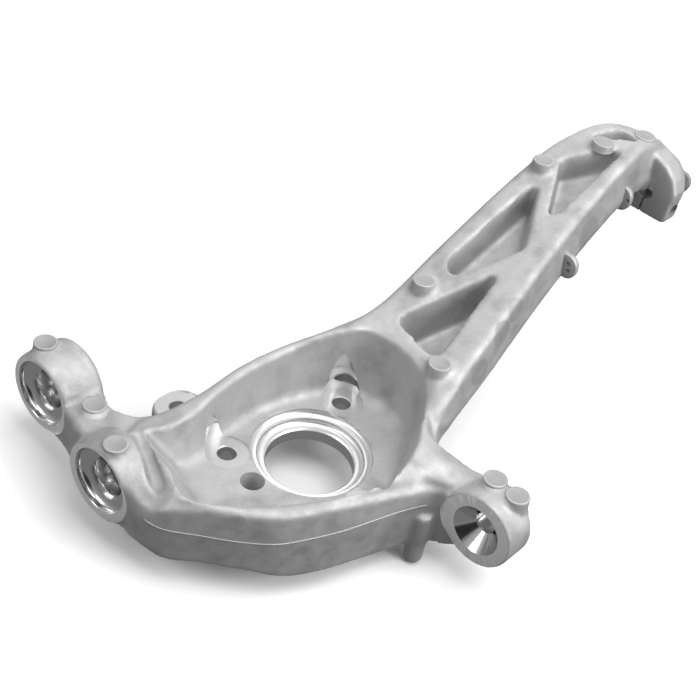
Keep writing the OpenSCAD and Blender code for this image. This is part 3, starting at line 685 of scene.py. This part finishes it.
def head_solid(sizes):
    """Clamp head: its outline along Y, before it is cut to its plan."""
    corners = [(x * sizes.plan, z * sizes.top) for x, z in HEAD_SHARES]
    outline = rounded(corners, [sizes.edge] * len(corners))
    return stand(plate(outline, 0, HEAD_END - HEAD_START, sizes.edge / 2), HEAD_END)


def head_plan_solid(sizes):
    """Plan that the clamp head is cut to."""
    corners = [(x * sizes.plan, y * sizes.neck) for x, y in HEAD_PLAN_SHARES]
    outline = rounded(corners, [sizes.edge * share for share in HEAD_PLAN_ROUND_SHARES])
    return loft([at_height(outline, 0), at_height(outline, 2 * sizes.top)])


def ear_solid(sizes, mount):
    """Caliper ear with a round end and a wide root in the dish wall."""
    hole = mount_place(mount)
    centre = Vector((hole.x, hole.y, EAR_CAST_TOP))
    root_x = EAR_ROOTS[mount] * MM
    low_x = centre.x - EAR_RADIUS
    corners = [
        (low_x, centre.y + EAR_RADIUS), (low_x, centre.y - EAR_RADIUS),
        (root_x, centre.y - EAR_ROOT_WIDTH / 2), (root_x, centre.y + EAR_ROOT_WIDTH / 2),
    ]
    end = EAR_RADIUS * EAR_ROUND_SHARE
    outline = rounded(corners, [end, end, sizes.edge, sizes.edge])
    return plate(outline, centre.z - EAR_THICKNESS, centre.z, sizes.edge / 2)


def bracket_solid(sizes, places):
    """Thin ear on the neck's flank for a line bracket, from its row of places."""
    flank, reach, y, low, high = [place * MM for place in places]
    start = flank - BRACKET_ROOT
    end = flank + reach
    radius = (high - low) * BRACKET_ROUND_SHARE
    corners = [(start, low), (end, low), (end, high), (start, high)]
    outline = rounded(corners, [sizes.edge, radius, radius, sizes.edge])
    return stand(plate(outline, 0, BRACKET_THICKNESS, BRACKET_THICKNESS / 5), y)


def pad_solid(sizes, place, run=1, turn=Matrix.Identity(3)):
    """Round pad that an ejector pin left, with a worn edge and a shallow dish on top."""
    radius = sizes.pad / 2
    rise = sizes.pad_rise
    worn = 0.7 * MM
    dip = 0.3 * MM
    profile = [
        (0, -rise * run), (radius + worn, -rise * run), (radius, worn - rise * run / 2),
        (radius, rise - worn), (radius - worn / 3, rise - worn / 3), (radius - worn, rise),
        (radius - 2 * worn, rise), (radius - 3 * worn, rise - dip), (0, rise - dip),
    ]
    return turned(profile, place, turn, 48)


def pad_foot_solid(sizes, place, run):
    """Core of a pad's foot, which the blending turns into its fillet."""
    wider = 0.3 * MM
    profile = straight(sizes.pad / 2 + wider, -sizes.pad_rise * run, sizes.pad_rise / 2)
    return turned(profile, place, steps=48)


def pad_places(sizes):
    """Place and run of each ejector pad."""
    scale = (sizes.plan, sizes.plan, sizes.rim)
    return [(Vector([share * size for share, size in zip(row, scale)]), row[3]) for row in PAD_SHARES]


def tube(path, radii, sides=12):
    """Round bar along a path of points, with a radius at each."""
    points = [Vector(point) for point in path]
    rings = []
    for i, (point, radius) in enumerate(zip(points, radii)):
        along = points[min(i + 1, len(points) - 1)] - points[max(i - 1, 0)]
        turn = along.to_track_quat("Z", "Y")
        angles = [math.tau * k / sides for k in range(sides)]
        rings.append([point + turn @ Vector((math.cos(a), math.sin(a), 0)) * radius for a in angles])
    return loft(rings)


class KNUCKLE_OT_casting(bpy.types.Operator):
    """Model the casting with its soft cast edges and pockets"""

    bl_idname = "knuckle.casting"
    bl_label = "Casting"

    def execute(self, context):
        sizes = context.scene.knuckle_sizes
        finishes = make_finishes(sizes, context.scene.knuckle_finish)
        body = add_piece("knuckle_casting", dish_solid(sizes), finishes)
        carrier = add_piece("carrier", neck_solid(sizes))
        join(carrier, web_solid(sizes))
        join(carrier, barrel_solid(sizes, "front_joint_bore"))
        cut(carrier, room_solid(sizes))
        combine(body, carrier, "UNION")
        head = add_piece("head", head_solid(sizes))
        combine(head, add_piece("head_plan", head_plan_solid(sizes)), "INTERSECT")
        combine(body, head, "UNION")
        collar = straight(COLLAR_RADIUS, 0, COLLAR_REACH)
        stub = [(0, 0), (STUB_TIP_RADIUS, 0), (STUB_RADIUS, STUB_TAPER)]
        stub += [(STUB_RADIUS, STUB_LENGTH), (0, STUB_LENGTH)]
        extras = [
            barrel_solid(sizes, "rear_joint_bore"),
            barrel_solid(sizes, "steering_bore"),
            turned(collar, mouth_place("steering_bore"), ALONG_Y),
            *[ear_solid(sizes, mount) for mount in EAR_ROOTS],
            turned(stub, STUB_PLACE),
        ]
        for solid in extras:
            join(body, solid)
        groove = open_rows(GROOVE_PATH, 3)
        path = [Vector(point[:3]) * MM for point in groove]
        cut(body, tube(path, [point[3] * MM for point in groove]))
        for corners, depth_share in POCKET_SHARES:
            cut(body, pocket_solid(sizes, corners, depth_share))
        for place, run in pad_places(sizes):
            join(body, pad_foot_solid(sizes, place, run))
        blend = body.modifiers.new("blend", "REMESH")
        blend.mode = "VOXEL"
        blend.voxel_size = sizes.grain
        soften = body.modifiers.new("soften", "SMOOTH")
        soften.factor = 0.5
        soften.iterations = sizes.rounds
        bake_modifiers(body)
        return {"FINISHED"}


class KNUCKLE_OT_details(bpy.types.Operator):
    """Add the ejector pads and the bracket ears"""

    bl_idname = "knuckle.details"
    bl_label = "Pads and ears"

    def execute(self, context):
        sizes = context.scene.knuckle_sizes
        body = bpy.data.objects["knuckle_casting"]
        for place, run in pad_places(sizes):
            join(body, pad_solid(sizes, place, run))
        join(body, pad_solid(sizes, END_PAD_PLACE, 1, ALONG_Y))
        for places in BRACKETS:
            join(body, bracket_solid(sizes, places))
        return {"FINISHED"}


def hub_cuts(sizes):
    """Through bore with its shelf, step and ring, and the flat hub seat."""
    radius = mount_radius("hub_bore")
    step, ring = 36.5 * MM, 41.5 * MM
    shelf, step_height = 9.3 * MM, 13.5 * MM
    chamfer = 1 * MM
    seat_radius = 68 * MM
    turn = step_height - shelf
    lip = sizes.floor - step_height
    top = sizes.floor + sizes.fillet
    profile = [(0, -sizes.rim), (radius, -sizes.rim), (radius, shelf - chamfer), (radius + chamfer, shelf)]
    profile += [(step - turn + turn * s, step_height - turn * c) for s, c in quarter()]
    profile += [(ring - lip + lip * s, sizes.floor - lip * c) for s, c in quarter()[1:]]
    profile += [(ring, top), (0, top)]
    seat = straight(seat_radius, -sizes.rim, 0)
    return [turned(shape, Vector(), steps=160) for shape in (profile, seat)]


def bolt_cuts(sizes):
    """Hub bolt holes, each with a chamfer and a spot face that bites into the wall."""
    bolts = mounts["hub_bolts"]["dims"]
    radius = bolts["hole_r_mm"] * MM
    circle = bolts["pcd_mm"] * MM / 2
    count = bolts["count"]
    spot = sizes.floor - 1.2 * MM
    spot_radius = 15 * MM
    first = math.radians(-7.5)
    profile = drilled(radius, spot_radius, sizes.rim, spot, spot + sizes.rim)
    solids = []
    for k in range(count):
        angle = first + math.tau * k / count
        place = Vector((circle * math.cos(angle), circle * math.sin(angle), 0))
        solids.append(turned(profile, place))
    return solids


def sensor_cut(sizes):
    """Cast sensor hole, widened at its mouth."""
    radius = mount_radius("sensor_bore")
    place = mount_place("sensor_bore")
    mouth = 8.1 * MM
    middle = sizes.floor / 2
    rise = (mouth - radius) * 2
    profile = [
        (0, -sizes.rim), (radius, -sizes.rim), (radius, middle),
        (radius + rise, 2 * sizes.floor - middle), (0, 2 * sizes.floor - middle),
    ]
    return turned(profile, Vector((place.x, place.y, 0)))


def face_cut(mount):
    """Flat milled face of a boss."""
    deep = 6 * MM
    return turned(straight(boss_sizes(mount).mill, -deep, 0), mouth_place(mount), ALONG_Y, 128)


def bowl_cut(mount):
    """Bowl, lip and bore of a ball joint boss."""
    radius = mount_radius(mount)
    depth = boss_sizes(mount).bore
    mouth, lip = 22.8 * MM, radius + 1 * MM
    edge, wall, bottom = 0.25 * MM, 2 * MM, 7 * MM
    before = 1 * MM
    wide = mouth + before + edge
    drill_tip = radius * 0.33
    profile = [(0, -before), (wide, -before), (mouth, edge), (mouth, wall)]
    profile += [(lip + (mouth - lip) * c, wall + (bottom - wall) * s) for s, c in quarter()[1:]]
    profile += [(radius, bottom + 2 * MM), (radius, depth), (0, depth + drill_tip)]
    return turned(profile, mouth_place(mount), ALONG_Y, 128)


def steering_cut():
    """Cone and bore of the steering boss."""
    mount = "steering_bore"
    radius = mount_radius(mount)
    depth = boss_sizes(mount).bore
    mouth, wide = 17 * MM, 18.4 * MM
    before, edge = 1 * MM, 0.4 * MM
    cone_depth = 10.5 * MM
    profile = [(0, -before), (wide, -before), (mouth, edge), (radius, cone_depth)]
    profile += [(radius, depth), (0, depth)]
    return turned(profile, mouth_place(mount), ALONG_Y, 128)


def clamp_cuts():
    """Clamp bore, slit, flat end and pinch bolt hole."""
    bore = mount_place("clamp_bore")
    pinch = mount_place("pinch_bore")
    face = HEAD_START - 0.5 * MM
    reach = 50 * MM
    half_slit = 0.9 * MM
    flat, flat_width, flat_start = 46 * MM, 20 * MM, face - 20 * MM
    bottom = bore.z - 45 * MM
    pinch_start, pinch_length = bore.x - 30 * MM, 70 * MM
    bore_profile = straight(mount_radius("clamp_bore"), 0, reach)
    pinch_profile = straight(mount_radius("pinch_bore"), 0, pinch_length)
    return [
        turned(bore_profile, Vector((bore.x, face, bore.z)), ALONG_Y),
        block((bore.x - half_slit, face, bottom), (bore.x + half_slit, face + reach, bore.z)),
        block((flat, flat_start, bottom), (flat + flat_width, face + reach, bore.z)),
        turned(pinch_profile, Vector((pinch_start, pinch.y, pinch.z)), ALONG_X, 48),
    ]


def bracket_cuts():
    """Holes through the bracket ears."""
    profile = straight(BRACKET_HOLE_RADIUS, 0, 8 * MM)
    return [turned(profile, Vector(place) * MM, ALONG_Y, 24) for place in BRACKET_HOLES]


def ear_cuts():
    """Caliper bolt holes with their machined faces."""
    spot_radius = 16.2 * MM
    below, above = 30 * MM, EAR_FACE + 14 * MM
    solids = []
    for mount in EAR_ROOTS:
        place = mount_place(mount)
        profile = drilled(mount_radius(mount), spot_radius, below, EAR_FACE, above)
        solids.append(turned(profile, Vector((place.x, place.y, 0)), steps=64))
    return solids


class KNUCKLE_OT_machining(bpy.types.Operator):
    """Cut the turned and milled seats to their exact sizes"""

    bl_idname = "knuckle.machining"
    bl_label = "Machined seats"

    def execute(self, context):
        sizes = context.scene.knuckle_sizes
        body = bpy.data.objects["knuckle_casting"]
        cuts = [(solid, TURNED_HUB, None) for solid in hub_cuts(sizes)]
        cuts += [(solid, MILLED, BORED) for solid in bolt_cuts(sizes) + ear_cuts()]
        cast_holes = [sensor_cut(sizes)] + bracket_cuts() + clamp_cuts()
        cuts += [(solid, CAST, None) for solid in cast_holes]
        for mount, finish in (("rear_joint_bore", TURNED_REAR), ("front_joint_bore", TURNED_FRONT)):
            cuts += [(face_cut(mount), FACED, None), (bowl_cut(mount), finish, None)]
        cuts += [(face_cut("steering_bore"), FACED, None), (steering_cut(), TURNED_ARM, None)]
        for solid, finish, upright in cuts:
            cut(body, solid, finish, upright)
        body.data.shade_smooth()
        body.data.set_sharp_from_angle(angle=math.radians(SHARP_ANGLE))
        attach(body, BODY)
        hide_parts(NODE)
        return {"FINISHED"}


def add_node(tree, kind, settings=None, values=None, links=None):
    """Adds a node with its settings, its socket values and its links."""
    node = tree.nodes.new(kind)
    for key, value in (settings or {}).items():
        setattr(node, key, value)
    for key, value in (values or {}).items():
        node.inputs[key].default_value = value
    for key, socket in (links or {}).items():
        tree.links.new(socket, node.inputs[key])
    return node


def empty_tree(owner):
    """Empty node tree of a material or a world."""
    owner.use_nodes = True
    owner.node_tree.nodes.clear()
    return owner.node_tree


def new_material(name):
    """Material without a node and its tree."""
    material = bpy.data.materials.new(name)
    return material, empty_tree(material)


def ranged(tree, socket, low, high, start=0.3, stop=0.7, blend="LINEAR"):
    """Value that goes from low to high as a socket goes from start to stop."""
    node = add_node(
        tree, "ShaderNodeMapRange", {"interpolation_type": blend},
        {"From Min": start, "From Max": stop, "To Min": low, "To Max": high}, {"Value": socket},
    )
    return node.outputs["Result"]


def noise(tree, place, size, detail, dimensions="3D"):
    """Noise over a place, or over one number where 1D, whose lumps have a size in millimetres."""
    settings = {"noise_dimensions": dimensions}
    values = {"Scale": 1 / (size * MM), "Detail": detail}
    links = {"W" if dimensions == "1D" else "Vector": place}
    return add_node(tree, "ShaderNodeTexNoise", settings, values, links).outputs["Fac"]


def bump(tree, height, strength, depth, normal=None):
    """Normal of a surface that a height raises by a depth in millimetres, over another normal."""
    links = {"Height": height}
    if normal is not None:
        links["Normal"] = normal
    values = {"Strength": strength, "Distance": depth * MM}
    return add_node(tree, "ShaderNodeBump", values=values, links=links).outputs["Normal"]


def number_of(tree, operation, values=None, links=None, clamp=False):
    """Result of a number operation."""
    settings = {"operation": operation, "use_clamp": clamp}
    return add_node(tree, "ShaderNodeMath", settings, values, links).outputs[0]


def vector_of(tree, operation, socket, other=None):
    """Result node of an operation on a vector socket and a constant vector."""
    values = {} if other is None else {1: other}
    return add_node(tree, "ShaderNodeVectorMath", {"operation": operation}, values, {0: socket})


def add_surface(tree, values, links=None):
    """Principled shader with its values and links, joined to the material's output."""
    shader = add_node(tree, "ShaderNodeBsdfPrincipled", None, values, links)
    add_node(tree, "ShaderNodeOutputMaterial", links={"Surface": shader.outputs["BSDF"]})


def mark_and_shade_patch(tree, place, centre, radius, shade):
    """Darkens the skin inside a round patch at least to a fixed share, for ground stubs' marks and for
    painted shade on the pad tops.
    """
    darkest = 0.42
    fade = 0.5 * MM
    reach = vector_of(tree, "DISTANCE", place, centre).outputs["Value"]
    inside = ranged(tree, reach, darkest, 0.0, radius - fade, radius + fade)
    return number_of(tree, "MAXIMUM", links={0: shade, 1: inside})


def cast_skin(sizes, finish):
    """Gravity cast and shot blasted aluminium: dull light grey with fine pits and soft stains, plus painted
    shade on the pad tops.
    """
    material, tree = new_material("cast_aluminium_blasted")
    place = add_node(tree, "ShaderNodeTexCoord").outputs["Object"]
    grit = noise(tree, place, size=1.1, detail=4)
    ripple = noise(tree, place, size=9, detail=3)
    stain = noise(tree, place, size=22, detail=3)
    stained = ranged(tree, stain, low=0.0, high=0.35, start=0.45, stop=0.75, blend="SMOOTHSTEP")
    mottled = ranged(tree, grit, low=0.0, high=0.18)
    shade = number_of(tree, "ADD", links={0: stained, 1: mottled}, clamp=True)
    # Stubs ground off the neck's flank are darker than the skin; the ejector pads' tops get painted shade
    # against their glare
    for centre, radius in GROUND_PATCHES:
        shade = mark_and_shade_patch(tree, place, Vector(centre) * MM, radius * MM, shade)
    for centre, _ in pad_places(sizes):
        centre.z += sizes.pad_rise
        shade = mark_and_shade_patch(tree, place, centre, sizes.pad * PAD_SHADE_SHARE, shade)
    colour = add_node(
        tree, "ShaderNodeMix", {"data_type": "RGBA"},
        {6: linear(finish.skin_light), 7: linear(finish.skin_dark)}, {0: shade},
    )
    rough = ranged(tree, ripple, low=0.80, high=0.64)
    normal = bump(tree, ripple, strength=0.5, depth=0.35)
    normal = bump(tree, grit, strength=0.6, depth=0.12, normal=normal)
    links = {"Base Color": colour.outputs[2], "Roughness": rough, "Normal": normal}
    add_surface(tree, {"Metallic": 1.0}, links)
    return material


def turned_metal(name, finish, mount, axis, low, high):
    """Aluminium turned on a lathe about a mount's axis: bright, with fine rings round it."""
    material, tree = new_material(name)
    place = add_node(tree, "ShaderNodeTexCoord").outputs["Object"]
    shift = [-value for value in mount_place(mount)]
    centred = add_node(tree, "ShaderNodeMapping", None, {"Location": shift}, {"Vector": place})
    flat = vector_of(tree, "MULTIPLY", centred.outputs["Vector"], [1.0 - share for share in axis]).outputs[0]
    radius = vector_of(tree, "LENGTH", flat).outputs["Value"]
    # Feed marks are coarser than the real ones, so that they show
    feed = 0.5 * MM
    turns = number_of(tree, "MULTIPLY", {1: math.tau / feed}, {0: radius})
    rings = number_of(tree, "SINE", links={0: turns})
    band = noise(tree, radius, size=1.6, detail=3, dimensions="1D")
    around = vector_of(tree, "CROSS_PRODUCT", flat, axis).outputs[0]
    grain = add_node(
        tree, "ShaderNodeVectorTransform", {"convert_from": "OBJECT", "convert_to": "WORLD"},
        links={"Vector": around},
    )
    normal = bump(tree, rings, strength=0.25, depth=0.02)
    normal = bump(tree, band, strength=0.15, depth=0.03, normal=normal)
    add_surface(
        tree, {"Metallic": 1.0, "Base Color": linear(finish.turned), "Anisotropic": 0.6},
        {"Roughness": ranged(tree, band, low, high), "Normal": normal, "Tangent": grain.outputs["Vector"]},
    )
    return material


def milled_metal(name, colour, low, high, rise):
    """Milled aluminium: even and satin, with faint streaks that its roughness follows."""
    material, tree = new_material(name)
    place = add_node(tree, "ShaderNodeTexCoord").outputs["Object"]
    stretched = add_node(tree, "ShaderNodeMapping", None, {"Scale": (1, 1, rise)}, {"Vector": place})
    streak = noise(tree, stretched.outputs["Vector"], size=3, detail=2)
    rough = ranged(tree, streak, low, high)
    add_surface(tree, {"Metallic": 1.0, "Base Color": linear(colour)}, {"Roughness": rough})
    return material


def make_finishes(sizes, finish):
    """The casting's materials, in the order of the finish numbers."""
    sideways, upward = (0.0, 1.0, 0.0), (0.0, 0.0, 1.0)
    # Each metal ends with its lowest and highest roughness, and a milled one with its streaks' stretch
    return [
        cast_skin(sizes, finish),
        turned_metal("turned_aluminium_hub", finish, "hub_bore", upward, 0.34, 0.42),
        turned_metal("turned_aluminium_rear_bowl", finish, "rear_joint_bore", sideways, 0.13, 0.19),
        turned_metal("turned_aluminium_front_bowl", finish, "front_joint_bore", sideways, 0.13, 0.19),
        turned_metal("turned_aluminium_cone", finish, "steering_bore", sideways, 0.10, 0.15),
        milled_metal("faced_aluminium", finish.faced, 0.70, 0.78, 1.0),
        milled_metal("spot_faced_aluminium", finish.skin_light, 0.50, 0.58, 1.0),
        milled_metal("bored_aluminium", finish.turned, 0.08, 0.13, 0.1),
    ]


class KNUCKLE_OT_flash(bpy.types.Operator):
    """Model the thin line that the mould's joint left on the outer wall"""

    bl_idname = "knuckle.flash"
    bl_label = "Parting line"

    def execute(self, context):
        sizes = context.scene.knuckle_sizes
        rows = closed_rows(STATION_SHARES, STATION_STEPS)
        outline = [Vector((row[0], row[1])) * sizes.plan for row in rows]
        first, last = [row * STATION_STEPS for row in FLASH_ROWS]
        line = inset(outline, FLASH_RADIUS * FLASH_SINK_SHARE)[first:last]
        path = [(point.x, point.y, sizes.parting) for point in line]
        skin = bpy.data.materials["cast_aluminium_blasted"]
        flash = add_piece("parting_flash", tube(path, [FLASH_RADIUS] * len(path), 8), [skin])
        flash.data.shade_smooth()
        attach(flash, BODY)
        return {"FINISHED"}


def add_sheet(name, surface, colour, place, reach):
    """Flat matt sheet of the stage."""
    mesh = bmesh.new()
    place = place @ Matrix.Diagonal((*reach, 1, 1))
    bmesh.ops.create_grid(mesh, x_segments=1, y_segments=1, size=1, matrix=place)
    material, tree = new_material(surface)
    add_surface(tree, {"Base Color": linear(colour), "Roughness": 0.9})
    sheet = add_piece(name, mesh, [material])
    return sheet


def add_floor(finish):
    """Pale floor just under the stub, which the metal doesn't reflect."""
    place = Matrix.Translation((0, 0, cad_box[0].z - 1 * MM))
    floor = add_sheet("studio_floor", "painted_studio_floor", finish.ground, place, FLOOR_REACH)
    floor.visible_glossy = False


def add_screen(finish):
    """Black screen that the camera doesn't see, which the bright seats reflect."""
    turn = SCREEN_PLACE.to_track_quat("Z", "Y").to_matrix().to_4x4()
    place = Matrix.Translation(SCREEN_PLACE) @ turn
    screen = add_sheet("black_screen", "black_felt", finish.felt, place, SCREEN_REACH)
    screen.visible_camera = False


def add_lights():
    """Softboxes above, beside, before and behind the casting."""
    for name, place, size, power in LIGHTS:
        lamp = bpy.data.lights.new(name, "AREA")
        lamp.size = size
        lamp.energy = power
        holder = add_object(name, lamp)
        holder.location = place
        holder.rotation_euler = (LIGHT_AIM - Vector(place)).to_track_quat("-Z", "Y").to_euler()


def add_sky(context):
    """Sky that is paler above than below, so that the metal's undersides stay dark."""
    world = bpy.data.worlds.new("soft_sky")
    tree = empty_tree(world)
    way = add_node(tree, "ShaderNodeTexCoord").outputs["Generated"]
    up = add_node(tree, "ShaderNodeSeparateXYZ", links={"Vector": way}).outputs["Z"]
    glow = ranged(tree, up, low=0.2, high=0.40, start=-0.3, stop=0.4)
    sky = add_node(tree, "ShaderNodeBackground", values={"Color": (1, 1, 1, 1)}, links={"Strength": glow})
    add_node(tree, "ShaderNodeOutputWorld", links={"Surface": sky.outputs["Background"]})
    context.scene.world = world


def add_camera(context):
    """Camera at the photograph's viewing angle."""
    lens = bpy.data.cameras.new("photo_camera")
    lens.lens = CAMERA_LENS
    lens.sensor_width = CAMERA_SENSOR
    lens.clip_start = 0.01
    holder = add_object("photo_camera", lens)
    look = (CAMERA_AIM - CAMERA_PLACE).to_track_quat("-Z", "Y").to_matrix()
    roll = Matrix.Rotation(math.radians(CAMERA_ROLL), 3, "Z")
    holder.matrix_world = Matrix.Translation(CAMERA_PLACE) @ (look @ roll).to_4x4()
    context.scene.camera = holder


class KNUCKLE_OT_stage(bpy.types.Operator):
    """Set the floor, the screen, the lights, the sky and the camera"""

    bl_idname = "knuckle.stage"
    bl_label = "Stage"

    def execute(self, context):
        finish = context.scene.knuckle_finish
        add_floor(finish)
        add_screen(finish)
        add_lights()
        add_sky(context)
        context.scene.view_settings.view_transform = "Standard"
        add_camera(context)
        return {"FINISHED"}


class KNUCKLE_PT_panel(bpy.types.Panel):
    """Lists the knuckle's steps"""

    bl_idname = "KNUCKLE_PT_panel"
    bl_label = "Steering Knuckle"
    bl_space_type = "VIEW_3D"
    bl_region_type = "UI"
    bl_category = "Knuckle"

    def draw(self, context):
        for group in (context.scene.knuckle_sizes, context.scene.knuckle_finish):
            for name in group.bl_rna.properties.keys():
                if name not in ("rna_type", "name"):
                    self.layout.prop(group, name)
        for step in STEPS:
            self.layout.operator(step.bl_idname)


STEPS = (KNUCKLE_OT_casting, KNUCKLE_OT_details, KNUCKLE_OT_machining, KNUCKLE_OT_flash, KNUCKLE_OT_stage)
CLASSES = (KnuckleSizes, KnuckleFinish, *STEPS, KNUCKLE_PT_panel)


def register():
    """Adds the classes and their settings to Blender."""
    for item in CLASSES:
        bpy.utils.register_class(item)
    bpy.types.Scene.knuckle_sizes = PointerProperty(type=KnuckleSizes)
    bpy.types.Scene.knuckle_finish = PointerProperty(type=KnuckleFinish)


def unregister():
    """Takes the classes and their settings out of Blender."""
    del bpy.types.Scene.knuckle_finish
    del bpy.types.Scene.knuckle_sizes
    for item in reversed(CLASSES):
        bpy.utils.unregister_class(item)


def main():
    """Builds every piece."""
    register()
    bpy.ops.knuckle.casting()
    bpy.ops.knuckle.details()
    bpy.ops.knuckle.machining()
    bpy.ops.knuckle.flash()
    bpy.ops.knuckle.stage()


if __name__ == "__main__":
    main()
